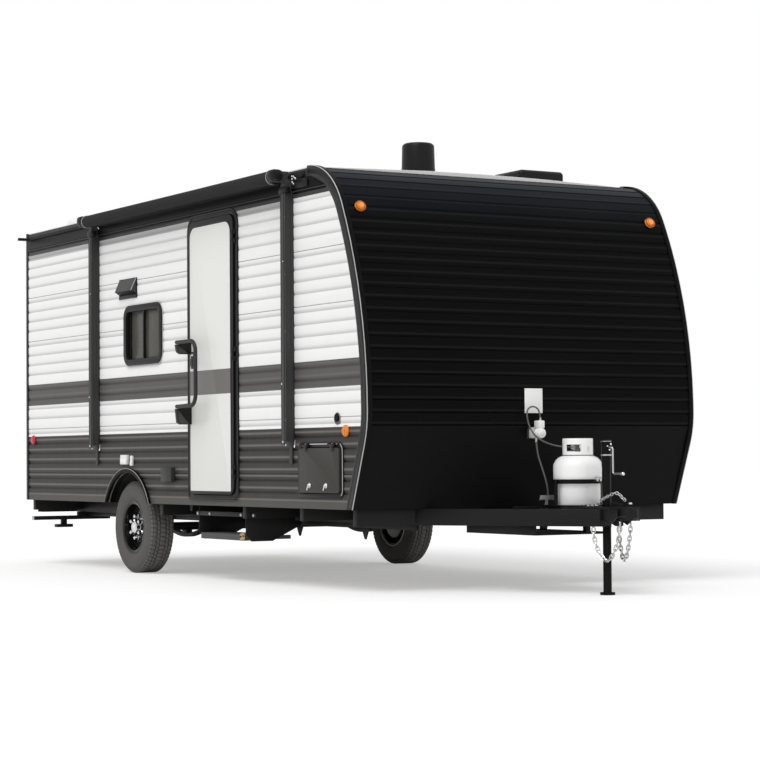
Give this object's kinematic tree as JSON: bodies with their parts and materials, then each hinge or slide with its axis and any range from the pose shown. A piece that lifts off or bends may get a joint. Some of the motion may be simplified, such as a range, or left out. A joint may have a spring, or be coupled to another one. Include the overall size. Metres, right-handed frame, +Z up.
{
  "type": "travel caravan",
  "caption": "Single-axle travel caravan with a hollow cabin, curved front, hinged entry door and cargo hatch, roll-up awning, tongue jack and coupler.",
  "frame": {"origin": "ground under the middle of the overall length and width", "axes": "+X forward to the hitch, +Y to the left-hand side, +Z up; the entry door is at -Y"},
  "size_m": [6.59, 2.6832, 2.9253],
  "materials": {
    "cabin_wall": "satin laminate",
    "siding_white": "satin paint",
    "nose_black": "gloss paint",
    "roof_skin": "matt membrane",
    "floor_board": "sealed board",
    "arch_black": "moulded",
    "chassis_black": "semi-gloss paint",
    "tyre": "moulded rubber",
    "wheel_black": "gloss paint",
    "hub_steel": "machined",
    "spring_steel": "matt paint",
    "window_black": "gloss",
    "window_glass": "tinted",
    "door_trim": "satin paint",
    "door_white": "satin paint",
    "hatch_white": "satin paint",
    "trim_black": "dark anodised",
    "gutter_white": "extruded",
    "awning_grey": "powder coat",
    "awning_cloth": "coated cloth",
    "roof_plastic": "moulded",
    "lens_amber": "clear moulded",
    "lens_red": "clear moulded",
    "fitting_black": "moulded",
    "gas_white": "gloss paint",
    "carrier_black": "powder coat",
    "zinc": "zinc plated",
    "step_black": "textured paint",
    "handle_black": "soft grip",
    "jack_black": "gloss paint",
    "hose_black": "smooth"
  },
  "bodies": {
    "caravan": {"side_wall_right": "cabin_wall", "side_wall_left": "cabin_wall", "siding_right": "siding_white", "siding_left": "siding_white", "front_wall": "cabin_wall", "siding_front": "nose_black", "rear_wall": "cabin_wall", "siding_rear": "siding_white", "roof": "roof_skin", "floor": "floor_board", "wheel_wells": "arch_black", "fender_flares": "arch_black", "chassis_rails": "chassis_black", "crossmembers": "chassis_black", "tongue_rails": "chassis_black", "bumper": "chassis_black", "coupler": "chassis_black", "jack_tube": "jack_black", "axle": "chassis_black", "leaf_springs": "spring_steel", "spring_hangers": "chassis_black", "window_frames": "window_black", "window_glass": "window_glass", "door_frame": "door_trim", "hatch_frame": "door_trim", "corner_trims": "trim_black", "roof_gutters": "gutter_white", "awning_arms": "awning_grey", "awning_roller": "awning_cloth", "roof_vents": "roof_plastic", "air_conditioner": "roof_plastic", "antenna": "roof_plastic", "amber_lamps": "lens_amber", "red_lamps": "lens_red", "wall_fittings": "fitting_black", "gas_cylinder": "gas_white", "cylinder_carrier": "carrier_black", "tongue_tray": "carrier_black", "gas_regulator": "gas_white", "step_frame": "step_black", "safety_chains": "zinc", "gas_hose": "hose_black", "pigtail_hose": "hose_black", "stabiliser_jacks": "chassis_black"},
    "wheel_right": {"tyre_right": "tyre", "wheel_right": "wheel_black", "hub_right": "hub_steel"},
    "wheel_left": {"tyre_left": "tyre", "wheel_left": "wheel_black", "hub_left": "hub_steel"},
    "entry_door": {"entry_door": "door_white", "door_fittings": "fitting_black"},
    "grab_handle": {"grab_handle": "handle_black"},
    "cargo_hatch": {"cargo_hatch": "hatch_white"},
    "entry_step": {"entry_step": "step_black"},
    "jack_leg": {"jack_leg": "zinc"}
  },
  "joints": [
    {"name": "wheel_right_spin", "type": "hinge", "parent": "caravan", "child": "wheel_right", "pos_m": [-1.165, -1.095, 0.332], "axis": [0, 1, 0], "continuous": true},
    {"name": "wheel_left_spin", "type": "hinge", "parent": "caravan", "child": "wheel_left", "pos_m": [-1.165, 1.095, 0.332], "axis": [0, 1, 0], "continuous": true},
    {"name": "entry_door_swing", "type": "hinge", "parent": "caravan", "child": "entry_door", "pos_m": [0.5805, -1.247, 1.5], "axis": [0, 0, 1], "range_deg": [0, 110]},
    {"name": "grab_handle_swing", "type": "hinge", "parent": "entry_door", "child": "grab_handle", "pos_m": [-0.0825, -1.346, 1.365], "axis": [0, 0, -1], "range_deg": [0, 90]},
    {"name": "cargo_hatch_swing", "type": "hinge", "parent": "caravan", "child": "cargo_hatch", "pos_m": [1.715, -1.243, 0.897], "axis": [-1, 0, 0], "range_deg": [0, 150]},
    {"name": "entry_step_slide", "type": "slide", "parent": "caravan", "child": "entry_step", "axis": [0, -1, 0], "range_m": [0, 0.2]},
    {"name": "jack_leg_slide", "type": "slide", "parent": "caravan", "child": "jack_leg", "axis": [0, 0, 1], "range_m": [0, 0.36]}
  ]
}
